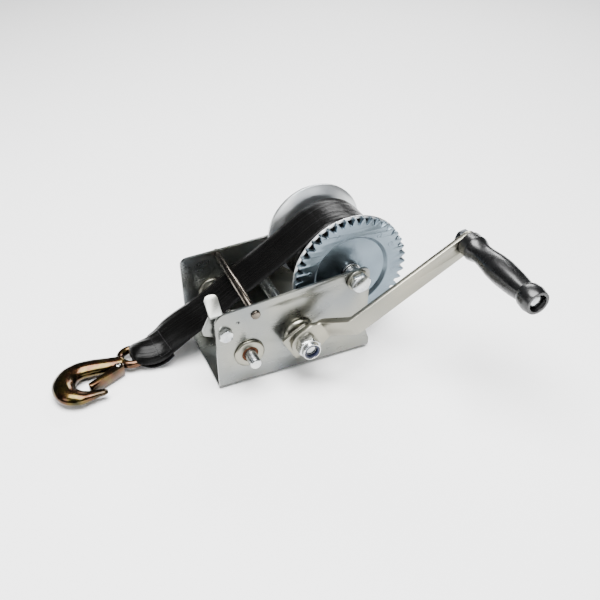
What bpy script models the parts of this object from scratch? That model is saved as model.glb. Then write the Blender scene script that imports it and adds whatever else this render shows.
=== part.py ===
"""Boat trailer winch: two-shaft hand winch in a bent channel frame, with a strap, a snap hook and a crank.

Metres, +Z up. +X runs from the hook end to the drum end, the crank is on the -Y side.
The origin is the centre of the frame's underside. Shafts run along Y.
"""
import math

import bmesh
import bpy
from mathutils import Vector

# ---- driving dimensions ----
FRAME_LENGTH = 0.168
FRAME_WIDTH = 0.120
PLATE = 0.003
BEND_RADIUS = 0.006
NEAR_OUT = -FRAME_WIDTH / 2
NEAR_IN = NEAR_OUT + PLATE
FAR_OUT = FRAME_WIDTH / 2
FAR_IN = FAR_OUT - PLATE
HOOK_END = -FRAME_LENGTH / 2
DRUM_END = FRAME_LENGTH / 2
GAP = 0.0003
RUN = 0.0003

# shaft centres, as (x, z)
DRUM_AT = (0.0695, 0.0953)
CRANK_AT = (0.0039, 0.0478)
SECOND_AT = (-0.0504, 0.0390)
PAWL_AT = (-0.0742, 0.0703)
ROD_AT = (-0.0418, 0.0847)
SPRING_HOLE_AT = (-0.0605, 0.0805)

# gears
DRUM_MODULE = 0.003
DRUM_TEETH = 40
PINION_TEETH = 14
LOW_MODULE = 0.0025
COUNTER_TEETH = 32
LOW_PINION_TEETH = 12
RATCHET_TEETH = 12
GEAR_WEB = 0.002
PRESSURE_ANGLE = math.radians(25)
BACKLASH = 0.0003
DRUM_TOOTH_ANGLE = math.radians(7.3)

# levels along Y
DRUM_GEAR_Y = (-0.0474, -0.0414)
NEAR_FLANGE_Y = (-0.0411, -0.0388)
COUNTER_Y = (-0.0542, -0.0502)
PINION_Y = (-0.0498, -0.0415)
RATCHET_Y = (-0.0494, -0.0454)
ROLL_Y = (-0.025, 0.025)
FLANGE_RIM_Y = 0.0483

# radii
DISH_RADIUS = 0.0426
FLANGE_RADIUS = 0.0553
NEAR_FLANGE_RADIUS = 0.0632
BARREL_RADIUS = 0.022
ROLL_RADIUS = 0.048
AXLE_TUBE_RADIUS = 0.008
DRUM_BOLT_RADIUS = 0.006
CRANK_RADIUS = 0.007
JOURNAL_RADIUS = 0.006
ROD_RADIUS = 0.004
PAWL_BOLT_RADIUS = 0.004

# crank arm and grip
ARM_WIDTH = 0.022
ARM_THICK = 0.005
ARM_HUB_RADIUS = 0.0155
ARM_IN_Y = -0.0775
ARM_OUT_Y = -0.1000
JOGGLE = (0.025, 0.049)
GRIP_AT = (0.1688, 0.1385)
GRIP_LENGTH = 0.1075
GRIP_BOLT_RADIUS = 0.005

# strap and hook
STRAP_WIDTH = 0.050
STRAP_THICK = 0.0024
HOOK_CENTRE_Z = 0.0086
HOOK_RING_AT = (-0.1560, 0.0170)
HOOK_RING_RADIUS = 0.0125
HOOK_RING_BAR = 0.0045
HOOK_FLATTEN = 0.7
LATCH_HALF = 0.0058
LATCH_WALL = 0.001
LATCH_PIN_AT = (-0.1735, 0.0022)

parts = bpy.data.collections.new("boat_trailer_winch")
cutters = bpy.data.collections.new("cutters")


# ---- scene and materials ----
def clear_scene():
    for obj in list(bpy.data.objects):
        bpy.data.objects.remove(obj, do_unlink=True)
    bpy.context.scene.collection.children.link(parts)
    bpy.context.scene.collection.children.link(cutters)


def make_finish(colour, roughness, metallic):
    return {"colour": colour, "roughness": roughness, "metallic": metallic}


ZINC = make_finish((0.50, 0.51, 0.49), 0.35, 1.0)
ZINC_DARK = make_finish((0.36, 0.40, 0.44), 0.35, 1.0)
STEEL = make_finish((0.62, 0.63, 0.64), 0.25, 1.0)
BRONZE = make_finish((0.45, 0.25, 0.12), 0.45, 1.0)
CHROMATE = make_finish((0.32, 0.22, 0.10), 0.35, 1.0)
BLACK_PLASTIC = make_finish((0.012, 0.012, 0.013), 0.35, 0.0)
BLUE_NYLON = make_finish((0.03, 0.07, 0.25), 0.45, 0.0)
WEBBING = make_finish((0.012, 0.012, 0.013), 0.85, 0.0)


def add_material(obj, finish):
    """Give the piece a material of its own with the finish's colour, roughness and metallic value."""
    mat = bpy.data.materials.new(obj.name + "_finish")
    mat.use_nodes = True
    shader = mat.node_tree.nodes["Principled BSDF"]
    shader.inputs["Base Color"].default_value = (*finish["colour"], 1.0)
    shader.inputs["Roughness"].default_value = finish["roughness"]
    shader.inputs["Metallic"].default_value = finish["metallic"]
    obj.data.materials.clear()
    obj.data.materials.append(mat)


def add_axis(name, at, y=0.0):
    """An empty on a shaft's centre line, which carries the pieces that turn with the shaft."""
    axis = bpy.data.objects.new(name, None)
    axis.location = (at[0], y, at[1])
    parts.objects.link(axis)
    return axis


def place(obj, parent, finish=None):
    """Put a piece in the part's collection, or a cutter with no finish in the cutters' one."""
    if finish is None:
        cutters.objects.link(obj)
        obj.hide_render = True
        obj.display_type = "WIRE"
    else:
        parts.objects.link(obj)
        add_material(obj, finish)
    obj.parent = parent
    return obj


# ---- outlines, as lists of (x, z) ----
def circle(radius, steps, centre=(0.0, 0.0)):
    turn = 2 * math.pi / steps
    return [(centre[0] + radius * math.cos(i * turn), centre[1] + radius * math.sin(i * turn))
            for i in range(steps)]


def rounded(corners, steps=4):
    """An outline whose corners (x, z, radius) are arcs."""
    points = []
    for i, (x, z, radius) in enumerate(corners):
        here = Vector((x, z))
        back = (Vector(corners[i - 1][:2]) - here).normalized()
        ahead = (Vector(corners[(i + 1) % len(corners)][:2]) - here).normalized()
        if radius == 0:
            points.append((x, z))
            continue
        half = back.angle(ahead) / 2
        centre = here + (back + ahead).normalized() * radius / math.sin(half)
        start = here + back * radius / math.tan(half) - centre
        finish = here + ahead * radius / math.tan(half) - centre
        for step in range(steps + 1):
            arm = start.normalized().slerp(finish.normalized(), step / steps)
            points.append(tuple(centre + arm * radius))
    return points


def involute(radius, base):
    """Angle that an involute from the base circle has swept when it reaches a radius."""
    if radius <= base:
        return 0.0
    roll = math.sqrt((radius / base) ** 2 - 1)
    return roll - math.atan(roll)


def gear_outline(teeth, module, tooth_angle):
    """Involute spur gear with one tooth centred on tooth_angle."""
    pitch_radius = teeth * module / 2
    base = pitch_radius * math.cos(PRESSURE_ANGLE)
    tip = pitch_radius + module * 0.97
    root = pitch_radius - module * 1.25
    half_tooth = math.pi / (2 * teeth) - BACKLASH / (2 * pitch_radius) + involute(pitch_radius, base)
    flank = [root, pitch_radius, tip]
    if base > root:
        flank.insert(1, base)
    points = []
    for tooth in range(teeth):
        middle = tooth_angle + 2 * math.pi * tooth / teeth
        rising = [(radius, middle - half_tooth + involute(radius, base)) for radius in flank]
        falling = [(radius, 2 * middle - angle) for radius, angle in reversed(rising)]
        points += [(radius * math.cos(angle), radius * math.sin(angle)) for radius, angle in rising + falling]
    return points


def ratchet_outline(teeth, tip, root):
    """Saw teeth: one steep face and one long slope each."""
    points = []
    for tooth in range(teeth):
        angle = 2 * math.pi * tooth / teeth
        slope_end = angle + 2 * math.pi / teeth * 0.88
        points.append((root * math.cos(angle), root * math.sin(angle)))
        points.append((tip * math.cos(angle + 0.03), tip * math.sin(angle + 0.03)))
        points.append((tip * math.cos(angle + 0.12), tip * math.sin(angle + 0.12)))
        points.append((root * math.cos(slope_end), root * math.sin(slope_end)))
    return points


def meshing_angle(driver_angle, driver_at, driver_teeth, follower_at, follower_teeth):
    """Tooth angle that puts a follower gear in mesh with its driver."""
    line = math.atan2(follower_at[1] - driver_at[1], follower_at[0] - driver_at[0])
    gap = line + math.pi - (driver_angle - line) * driver_teeth / follower_teeth
    return gap + math.pi / follower_teeth


# ---- solids ----
def solid_mesh(source):
    """The welded mesh of a curve or of a profile with its Screw, smooth but for its sharp edges."""
    bpy.context.view_layer.update()
    evaluated = source.evaluated_get(bpy.context.evaluated_depsgraph_get())
    mesh = bpy.data.meshes.new_from_object(evaluated)
    work = bmesh.new()
    work.from_mesh(mesh)
    bmesh.ops.remove_doubles(work, verts=work.verts, dist=1e-6)
    bmesh.ops.recalc_face_normals(work, faces=work.faces)
    work.to_mesh(mesh)
    work.free()
    mesh.shade_smooth()
    mesh.set_sharp_from_angle(angle=math.radians(35))
    return mesh


def plate(name, outlines, y_range, parent, finish=None):
    """Flat stock cut to an outline in the XZ plane; the outlines after the first are its holes."""
    curve = bpy.data.curves.new(name, "CURVE")
    curve.dimensions = "2D"
    curve.fill_mode = "BOTH"
    curve.extrude = (y_range[1] - y_range[0]) / 2
    for outline in outlines:
        spline = curve.splines.new("POLY")
        spline.points.add(len(outline) - 1)
        for point, (x, z) in zip(spline.points, outline):
            point.co = (x, z, 0.0, 1.0)
        spline.use_cyclic_u = True
    flat = bpy.data.objects.new(name + "_curve", curve)
    bpy.context.scene.collection.objects.link(flat)
    obj = bpy.data.objects.new(name, solid_mesh(flat))
    bpy.data.objects.remove(flat, do_unlink=True)
    obj.rotation_euler = (math.pi / 2, 0, 0)
    obj.location = (0, sum(y_range) / 2, 0)
    return place(obj, parent, finish)


def turned(name, profile, parent, finish=None, steps=24, ring=False):
    """A turned piece on the Y axis. Profile points are (radius, y) from the -Y end along the outside.

    A ring's profile goes on round the bore and closes on itself.
    """
    work = bmesh.new()
    corners = [work.verts.new((radius, 0.0, -y)) for radius, y in profile]
    for start, end in zip(corners, corners[1:]):
        work.edges.new((start, end))
    if ring:
        work.edges.new((corners[-1], corners[0]))
    mesh = bpy.data.meshes.new(name)
    work.to_mesh(mesh)
    work.free()
    lathe = bpy.data.objects.new(name + "_profile", mesh)
    bpy.context.scene.collection.objects.link(lathe)
    screw = lathe.modifiers.new("turn", "SCREW")
    screw.steps = steps
    screw.render_steps = steps
    screw.use_merge_vertices = True
    screw.merge_threshold = 0.00001
    obj = bpy.data.objects.new(name, solid_mesh(lathe))
    bpy.data.objects.remove(lathe, do_unlink=True)
    obj.rotation_euler = (math.pi / 2, 0, 0)
    return place(obj, parent, finish)


def tube(name, inner, outer, y_range, parent, finish, steps=18):
    """A plain bush, washer or sleeve."""
    low, high = y_range
    return turned(name, [(inner, low), (outer, low), (outer, high), (inner, high)], parent, finish, steps,
                  ring=True)


def cut(obj, cutter, operation="DIFFERENCE"):
    modifier = obj.modifiers.new(operation.lower() + "_" + cutter.name, "BOOLEAN")
    modifier.operation = operation
    modifier.solver = "EXACT"
    modifier.object = cutter
    return obj


def drill(obj, radius, at, y_range, parent=None, steps=20):
    """A round hole along Y."""
    drill_bit = plate(obj.name + "_drill", [circle(radius, steps, at)], y_range, parent)
    return cut(obj, drill_bit)


def hexagon(across_flats, turn=0.0):
    reach = across_flats / 2 / math.cos(math.pi / 6)
    return [(reach * math.cos(turn + i * math.pi / 3),
             reach * math.sin(turn + i * math.pi / 3)) for i in range(6)]


def chamfer_cone(name, across_flats, y_range, outer_low, parent):
    """The turned blank that rounds a hexagon's corners on its outer face."""
    reach = across_flats * 0.58
    low, high = y_range
    slope = reach - across_flats * 0.475
    if outer_low:
        profile = [(0, low), (across_flats * 0.475, low), (reach, low + slope * 0.6), (reach, high + GAP),
                   (0, high + GAP)]
    else:
        profile = [(0, low - GAP), (reach, low - GAP), (reach, high - slope * 0.6),
                   (across_flats * 0.475, high), (0, high)]
    return turned(name, profile, parent, None, 18)


def nut(name, across_flats, bore, y_range, parent, finish, outer_low, turn=0.0):
    """A hexagon nut with one chamfered face."""
    body = plate(name, [hexagon(across_flats, turn), circle(bore, 16)], y_range, parent, finish)
    cut(body, chamfer_cone(name + "_blank", across_flats, y_range, outer_low, parent), "INTERSECT")
    return body


def bolt(name, across_flats, head_y, shank_radius, end_y, parent, finish, turn=0.0, head_near=True):
    """A hexagon-head bolt along Y, with its head on the near or the far side."""
    body = plate(name, [hexagon(across_flats, turn)], head_y, parent, finish)
    cut(body, chamfer_cone(name + "_blank", across_flats, head_y, head_near, parent), "INTERSECT")
    inside = sum(head_y) / 2
    tip = 0.001
    if head_near:
        profile = [(0, inside), (shank_radius, inside), (shank_radius, end_y - tip),
                   (shank_radius - tip, end_y), (0, end_y)]
    else:
        profile = [(0, end_y), (shank_radius - tip, end_y), (shank_radius, end_y + tip),
                   (shank_radius, inside), (0, inside)]
    cut(body, turned(name + "_shank", profile, parent, None, 20), "UNION")
    return body


# ---- frame ----
def near_side():
    """Near side plate: taller at the drum end, with a small foot at its lower corner."""
    return rounded([(HOOK_END, -0.002, 0), (0.087, -0.002, 0.008), (0.087, 0.012, 0.006),
                    (0.0825, 0.026, 0.010),
                    (DRUM_END, 0.1081, 0.008), (HOOK_END, 0.0927, 0.011)])


def far_side():
    """Far side plate: a lower strap end that swells up round the drum bolt."""
    return rounded([(HOOK_END, -0.002, 0), (DRUM_END, -0.002, 0.003), (DRUM_END, 0.1081, 0.008),
                    (0.045, 0.1065, 0.020),
                    (0.020, 0.0925, 0.025), (HOOK_END, 0.0875, 0.008)])


def build_frame(frame_axis):
    section = rounded([(NEAR_OUT, 0.0, BEND_RADIUS), (FAR_OUT, 0.0, BEND_RADIUS), (FAR_OUT, 0.115, 0),
                       (FAR_IN, 0.115, 0),
                       (FAR_IN, PLATE, BEND_RADIUS - PLATE), (NEAR_IN, PLATE, BEND_RADIUS - PLATE),
                       (NEAR_IN, 0.115, 0), (NEAR_OUT, 0.115, 0)], 4)
    channel = plate("frame_channel", [section], (-0.100, 0.100), frame_axis, ZINC)
    channel.rotation_euler = (math.pi / 2, 0, math.pi / 2)
    channel.location = (0, 0, 0)
    blank = [(-0.2, -0.1), (0.2, -0.1), (0.2, 0.2), (-0.2, 0.2)]
    cut(channel, plate("near_trim", [blank, near_side()], (-0.07, 0.0), frame_axis))
    cut(channel, plate("far_trim", [blank, far_side()], (0.0, 0.07), frame_axis))
    across_near = (NEAR_OUT - 0.002, NEAR_IN + 0.002)
    across_far = (FAR_IN - 0.002, FAR_OUT + 0.002)
    for at, radius in ((DRUM_AT, 0.0064), (CRANK_AT, 0.0125), (SECOND_AT, 0.0115), (ROD_AT, 0.0033)):
        drill(channel, radius, at, across_near, frame_axis)
        drill(channel, radius, at, across_far, frame_axis)
    drill(channel, PAWL_BOLT_RADIUS + GAP, PAWL_AT, across_near, frame_axis, 16)
    drill(channel, 0.0018, SPRING_HOLE_AT, across_near, frame_axis, 12)
    for x in (-0.055, 0.050):
        for y in (-0.030, 0.030):
            bolt_hole = plate("mount_hole_cut", [circle(0.00525, 16)], (-0.002, 0.006), frame_axis)
            bolt_hole.rotation_euler = (0, 0, 0)
            bolt_hole.location = (x, y, 0.002)
            cut(channel, bolt_hole)


def build_spacer_rod(rod_axis):
    """Spacer rod with riveted ends outside both plates."""
    neck = 0.003
    head = 0.0048
    profile = [(0, NEAR_OUT - 0.0024), (head - 0.001, NEAR_OUT - 0.0024), (head, NEAR_OUT - 0.0014),
               (head, NEAR_OUT - GAP),
               (neck, NEAR_OUT - GAP), (neck, NEAR_IN + GAP), (ROD_RADIUS, NEAR_IN + GAP),
               (ROD_RADIUS, FAR_IN - GAP),
               (neck, FAR_IN - GAP), (neck, FAR_OUT + GAP), (head, FAR_OUT + GAP), (head, FAR_OUT + 0.0014),
               (head - 0.001, FAR_OUT + 0.0024), (0, FAR_OUT + 0.0024)]
    turned("spacer_rod", profile, rod_axis, STEEL, 16)


def build_bearing(name, axis, cup_hole, flange, thick, bush_bore):
    """Flanged cup and bronze bush in each side plate; both flanges face the crank side."""
    cup = cup_hole - GAP
    bush = bush_bore + 0.0021
    for side, face, through in (("near", NEAR_OUT, NEAR_IN + 0.002), ("far", FAR_IN, FAR_OUT + 0.001)):
        lip = face - GAP
        profile = [(bush + GAP, lip - thick), (flange - 0.0016, lip - thick), (flange, lip - thick * 0.5),
                   (flange, lip), (cup, lip), (cup, through), (bush + GAP, through)]
        turned(name + "_cup_" + side, profile, axis, ZINC, 24, ring=True)
        tube(name + "_bush_" + side, bush_bore, bush, (lip - thick + 0.0004, through + 0.0002), axis, BRONZE)


# ---- drum ----
def build_drum_gear(drum_axis):
    """Spur gear with a dished middle."""
    outline = gear_outline(DRUM_TEETH, DRUM_MODULE, DRUM_TOOTH_ANGLE)
    gear = plate("drum_gear", [outline, circle(0.0105, 24)], DRUM_GEAR_Y, drum_axis, ZINC_DARK)
    front, back = DRUM_GEAR_Y
    floor = back - GEAR_WEB
    dish = [(0, front - 0.001), (DISH_RADIUS + 0.001, front - 0.001), (DISH_RADIUS, front),
            (DISH_RADIUS - 0.0012, front + 0.0012), (DISH_RADIUS - 0.0038, floor), (0, floor)]
    cut(gear, turned("gear_dish", dish, drum_axis, None, 48))
    drill(gear, 0.0033, anchor_place(), (floor - 0.002, back + 0.002), drum_axis, 12)


def anchor_place():
    """Place of the strap anchor bolt, from the drum's centre."""
    angle = math.radians(-120)
    return (0.0168 * math.cos(angle), 0.0168 * math.sin(angle))


def build_drum(drum_axis):
    build_drum_gear(drum_axis)
    low, high = NEAR_FLANGE_Y
    rim = NEAR_FLANGE_RADIUS
    bead = 0.001
    near = [(BARREL_RADIUS + GAP, low), (rim, low), (rim, high - bead), (rim - 0.0012, high),
            (rim - 0.0030, high),
            (rim - 0.0044, high - bead), (BARREL_RADIUS + GAP, high - bead)]
    turned("near_flange", near, drum_axis, ZINC, 48, ring=True)
    barrel_start = DRUM_GEAR_Y[1] + GAP
    tube("drum_barrel", BARREL_RADIUS - 0.002, BARREL_RADIUS, (barrel_start, 0.0297), drum_axis, ZINC, 28)
    rim = FLANGE_RADIUS
    face = FLANGE_RIM_Y
    far = [(0.0105, 0.0300), (0.0240, 0.0300), (rim - 0.0040, face - 0.0042), (rim, face - 0.0030),
           (rim, face),
           (rim - 0.0030, face - 0.0006), (0.0235, 0.0328), (0.0105, 0.0328)]
    flange = turned("far_flange", far, drum_axis, ZINC, 48, ring=True)
    anchor = anchor_place()
    drill(flange, 0.0033, anchor, (0.028, 0.036), drum_axis, 12)
    gear_floor = DRUM_GEAR_Y[1] - GEAR_WEB
    tube("drum_bush_near", AXLE_TUBE_RADIUS + RUN, 0.0102, (gear_floor - 0.003, -0.0360), drum_axis, STEEL)
    tube("drum_bush_far", AXLE_TUBE_RADIUS + RUN, 0.0102, (0.0280, 0.0385), drum_axis, STEEL)
    anchor_axis = add_axis("anchor_axis", anchor)
    anchor_axis.parent = drum_axis
    head_y = (gear_floor - GAP - 0.0035, gear_floor - GAP)
    bolt("strap_anchor_bolt", 0.010, head_y, 0.0029, 0.0395, anchor_axis, STEEL)
    plate("strap_anchor_nut", [hexagon(0.010), circle(0.0032, 12)], (0.0332, 0.0378), anchor_axis, STEEL)
    tube("strap_roll", BARREL_RADIUS + GAP, ROLL_RADIUS, ROLL_Y, drum_axis, WEBBING, 40)


def build_drum_axle(axle_axis):
    """Fixed parts that the drum turns on."""
    near_face = NEAR_OUT - GAP
    far_face = FAR_OUT + GAP
    tube("drum_axle_tube", DRUM_BOLT_RADIUS + GAP, AXLE_TUBE_RADIUS, (NEAR_IN + GAP, FAR_IN - GAP),
         axle_axis, STEEL)
    tube("drum_washer_near", DRUM_BOLT_RADIUS + GAP, 0.0120, (near_face - 0.0024, near_face), axle_axis, ZINC)
    tube("drum_washer_far", DRUM_BOLT_RADIUS + GAP, 0.0120, (far_face, far_face + 0.0024), axle_axis, ZINC)
    head_top = near_face - 0.0024 - GAP
    bolt("drum_bolt", 0.019, (head_top - 0.0075, head_top), DRUM_BOLT_RADIUS, 0.0775, axle_axis, STEEL,
         math.radians(12))
    nut_face = far_face + 0.0024 + GAP
    nut("drum_bolt_nut", 0.019, DRUM_BOLT_RADIUS + GAP, (nut_face, nut_face + 0.010), axle_axis, STEEL,
        False, 0.3)


# ---- crank shaft ----
def build_crank_shaft(crank_axis, pinion_angle, counter_angle):
    near_shoulder = -0.0545
    far_shoulder = 0.0512
    thread_end = -0.0912
    tip = 0.001
    profile = [(0, thread_end), (JOURNAL_RADIUS - tip, thread_end), (JOURNAL_RADIUS, thread_end + tip),
               (JOURNAL_RADIUS, near_shoulder), (CRANK_RADIUS, near_shoulder), (CRANK_RADIUS, far_shoulder),
               (JOURNAL_RADIUS, far_shoulder), (JOURNAL_RADIUS, 0.0655 - tip),
               (JOURNAL_RADIUS - tip, 0.0655), (0, 0.0655)]
    turned("crank_shaft", profile, crank_axis, STEEL, 20)
    bore = circle(CRANK_RADIUS + GAP, 24)
    pinion = gear_outline(PINION_TEETH, DRUM_MODULE, pinion_angle)
    plate("crank_pinion", [pinion, bore], PINION_Y, crank_axis, ZINC_DARK)
    counter = gear_outline(COUNTER_TEETH, LOW_MODULE, counter_angle)
    plate("counter_gear", [counter, bore], COUNTER_Y, crank_axis, ZINC_DARK)
    tube("crank_washer", JOURNAL_RADIUS + GAP, 0.0125, (-0.0693, -0.0662), crank_axis, ZINC)
    tube("crank_clip", JOURNAL_RADIUS + GAP, 0.0098, (0.0618, 0.0630), crank_axis, STEEL)


def arm_angle():
    return math.atan2(GRIP_AT[1] - CRANK_AT[1], GRIP_AT[0] - CRANK_AT[0])


def arm_reach():
    return math.hypot(GRIP_AT[0] - CRANK_AT[0], GRIP_AT[1] - CRANK_AT[1])


def build_arm(crank_axis):
    """Flat bar with a joggle that carries the grip clear of the frame."""
    reach = arm_reach()
    half = ARM_THICK / 2
    end = reach + ARM_WIDTH / 2 + 0.002
    side = rounded([(-0.018, ARM_IN_Y + half, 0), (-0.018, ARM_IN_Y - half, 0),
                    (JOGGLE[0] - 0.002, ARM_IN_Y - half, 0.004), (JOGGLE[1] - 0.002, ARM_OUT_Y - half, 0.009),
                    (end, ARM_OUT_Y - half, 0), (end, ARM_OUT_Y + half, 0),
                    (JOGGLE[1] + 0.002, ARM_OUT_Y + half, 0.004),
                    (JOGGLE[0] + 0.002, ARM_IN_Y + half, 0.009)], 4)
    arm = plate("crank_arm", [side], (-ARM_HUB_RADIUS - 0.001, ARM_HUB_RADIUS + 0.001), crank_axis, ZINC)
    arm.rotation_euler = (0, -arm_angle(), 0)
    arm.location = (0, 0, 0)
    wide = ARM_WIDTH / 2
    blank = rounded([(-ARM_HUB_RADIUS, -ARM_HUB_RADIUS, ARM_HUB_RADIUS * 0.98),
                     (0.010, -ARM_HUB_RADIUS, 0.014),
                     (0.026, -wide, 0.022), (reach + wide, -wide, wide * 0.98),
                     (reach + wide, wide, wide * 0.98),
                     (0.022, wide, 0.010), (0.014, ARM_HUB_RADIUS, 0.010),
                     (-ARM_HUB_RADIUS, ARM_HUB_RADIUS, ARM_HUB_RADIUS * 0.98)], 7)
    trim = plate("arm_blank", [blank], (-0.120, -0.060), crank_axis)
    trim.rotation_euler = (math.pi / 2, -arm_angle(), 0)
    cut(arm, trim, "INTERSECT")
    drill(arm, JOURNAL_RADIUS + GAP, (0, 0), (-0.085, -0.070), crank_axis, 24)
    drill(arm, GRIP_BOLT_RADIUS + GAP, grip_offset(), (-0.110, -0.090), crank_axis, 20)


def grip_offset():
    return (GRIP_AT[0] - CRANK_AT[0], GRIP_AT[1] - CRANK_AT[1])


def build_crank_hub(crank_axis):
    """Two backing plates behind the arm, and the lock nut with its nylon insert in front of it."""
    back = ARM_IN_Y + ARM_THICK / 2 + 0.0007
    thick = 0.0018
    for name, left, half in (("arm_backing_plate", -0.0180, 0.0160),
                             ("inner_backing_plate", -0.0186, 0.0154)):
        right = 0.0120
        block = rounded([(left, -half, 0.003), (right, -half, 0.009), (right, half, 0.003),
                         (left, half, 0.003)], 3)
        hub = plate(name, [block, circle(JOURNAL_RADIUS + GAP, 24)], (back, back + thick), crank_axis, ZINC)
        hub.rotation_euler = (math.pi / 2, -arm_angle(), 0)
        back += thick + 0.0009
    face = ARM_IN_Y - ARM_THICK / 2 - GAP
    body_y = (face - 0.0098, face)
    lock_nut = nut("crank_lock_nut", 0.021, JOURNAL_RADIUS + GAP, body_y, crank_axis, STEEL, True, 0.25)
    low = face - 0.0145
    collar = [(0.0084, low), (0.0092, low), (0.0098, low + 0.0007), (0.0098, body_y[0] + 0.001),
              (0.0084, body_y[0] + 0.001)]
    cut(lock_nut, turned("nut_collar", collar, crank_axis, None, 18, ring=True), "UNION")
    insert_y = (low + 0.0005, body_y[0] - GAP)
    tube("nut_insert", JOURNAL_RADIUS + GAP, 0.0081, insert_y, crank_axis, BLUE_NYLON)


# ---- grip ----
def build_grip(grip_axis):
    """Moulded handle: collar, waist, belly, waist and end collar with a sunk bolt head."""
    start = ARM_OUT_Y - ARM_THICK / 2 - 0.0005
    end = start - GRIP_LENGTH
    bore = GRIP_BOLT_RADIUS + RUN
    pocket = 0.0088
    outer = [(0.0125, 0), (0.0130, 0.001), (0.0130, 0.009), (0.0137, 0.0108), (0.0126, 0.0150),
             (0.0106, 0.0205),
             (0.0112, 0.0300), (0.0130, 0.0440), (0.0134, 0.0560), (0.0121, 0.0760), (0.0104, 0.0885),
             (0.0126, 0.0925),
             (0.0134, 0.1000), (0.0120, GRIP_LENGTH)]
    profile = [(pocket, end), *[(radius, start - along) for radius, along in reversed(outer)],
               (bore, start), (bore, end + 0.008), (pocket, end + 0.008)]
    turned("grip", profile, grip_axis, BLACK_PLASTIC, 22, ring=True)


def build_grip_bolt(bolt_axis):
    """Axle of the grip: a round head sunk in the grip's end, and a nut behind the arm."""
    end = ARM_OUT_Y - ARM_THICK / 2 - 0.0005 - GRIP_LENGTH
    seat = end + 0.008 - GAP
    nut_face = ARM_OUT_Y + ARM_THICK / 2 + GAP
    tip = 0.001
    radius = GRIP_BOLT_RADIUS
    profile = [(0, seat - 0.0050), (0.0042, seat - 0.0048), (0.0064, seat - 0.0036), (0.0073, seat - 0.0018),
               (0.0074, seat), (radius, seat), (radius, nut_face + 0.0095 - tip),
               (radius - tip, nut_face + 0.0095),
               (0, nut_face + 0.0095)]
    turned("grip_bolt", profile, bolt_axis, STEEL, 18)
    nut("grip_nut", 0.016, radius + GAP, (nut_face, nut_face + 0.008), bolt_axis, STEEL, False, 0.2)


# ---- second shaft, ratchet and pawl ----
def build_second_shaft(second_axis, pinion_angle):
    tip = 0.0012
    low = -0.0805
    profile = [(0, low), (JOURNAL_RADIUS - tip, low), (JOURNAL_RADIUS, low + tip),
               (JOURNAL_RADIUS, 0.0655 - tip),
               (JOURNAL_RADIUS - tip, 0.0655), (0, 0.0655)]
    turned("second_shaft", profile, second_axis, STEEL, 24)
    bore = circle(JOURNAL_RADIUS + GAP, 24)
    pinion = gear_outline(LOW_PINION_TEETH, LOW_MODULE, pinion_angle)
    plate("low_pinion", [pinion, bore], COUNTER_Y, second_axis, ZINC_DARK)
    plate("ratchet_wheel", [ratchet_outline(RATCHET_TEETH, 0.021, 0.0165), bore], RATCHET_Y, second_axis,
          ZINC_DARK)
    tube("second_clip", JOURNAL_RADIUS + GAP, 0.0098, (0.0618, 0.0630), second_axis, STEEL)


def build_pawl(pawl_axis):
    """Pawl lever: an ear that sticks out past the frame, a bent thumb tab above it, and the pawl's nose."""
    hole = circle(PAWL_BOLT_RADIUS + RUN, 20)
    body = rounded([(-0.0210, -0.0030, 0.004), (-0.0060, -0.0100, 0.004), (0.0085, -0.0110, 0.004),
                    (0.0140, -0.0124, 0.0006), (0.0115, -0.0040, 0.004), (0.0085, 0.0070, 0.005),
                    (0.0020, 0.0160, 0.003), (-0.0115, 0.0160, 0.002)], 4)
    pawl = plate("pawl_lever", [body, hole], RATCHET_Y, pawl_axis, ZINC)
    lean = math.radians(50)
    tab = plate("thumb_tab", [rounded([(-0.0068, -0.003, 0), (0.0068, -0.003, 0), (0.0068, 0.021, 0.005),
                                       (-0.0068, 0.021, 0.005)], 4)], (-0.0018, 0.0018), pawl_axis)
    tab.rotation_euler = (math.pi / 2 - lean, 0, 0)
    tab.location = (-0.0045, RATCHET_Y[0] + 0.0025, 0.0155)
    cut(pawl, tab, "UNION")


def build_pawl_bolt(bolt_axis):
    """Pivot bolt through the near plate with its nut inside the pawl."""
    near_face = NEAR_OUT - GAP
    bolt("pawl_bolt", 0.013, (near_face - 0.0050, near_face), PAWL_BOLT_RADIUS, -0.0370, bolt_axis, STEEL,
         0.35)
    inner = RATCHET_Y[1] + GAP
    nut("pawl_nut", 0.013, PAWL_BOLT_RADIUS + GAP, (inner, inner + 0.0065), bolt_axis, STEEL, False, 0.1)


def build_pawl_spring(bolt_axis):
    """Torsion spring round the pivot bolt: one leg in the plate's small hole, one along the pawl."""
    wire = 0.0006
    radius = 0.0062
    start_y = NEAR_IN + 0.0014
    hole = Vector((SPRING_HOLE_AT[0] - PAWL_AT[0], SPRING_HOLE_AT[1] - PAWL_AT[1]))
    leave = math.atan2(hole.y, hole.x) + math.acos(radius / hole.length)
    turns = 2.6
    steps = int(turns * 10)
    points = [Vector((hole.x, NEAR_OUT + 0.0008, hole.y)), Vector((hole.x, NEAR_IN + 0.0006, hole.y)),
              Vector((hole.x, start_y, hole.y)) * 0.98 + Vector((0, start_y * 0.02, 0))]
    for step in range(steps + 1):
        angle = leave + 2 * math.pi * turns * step / steps
        points.append(Vector((radius * math.cos(angle), start_y + 0.0042 * step / steps,
                              radius * math.sin(angle))))
    last = leave + 2 * math.pi * turns
    points.append(points[-1] + Vector((-math.sin(last), 0, math.cos(last))) * 0.009)
    curve = bpy.data.curves.new("pawl_spring", "CURVE")
    curve.dimensions = "3D"
    curve.bevel_depth = wire
    curve.bevel_resolution = 1
    curve.use_fill_caps = True
    spline = curve.splines.new("POLY")
    spline.points.add(len(points) - 1)
    for point, co in zip(spline.points, points):
        point.co = (*co, 1.0)
    place(bpy.data.objects.new("pawl_spring", curve), bolt_axis, STEEL)


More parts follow.
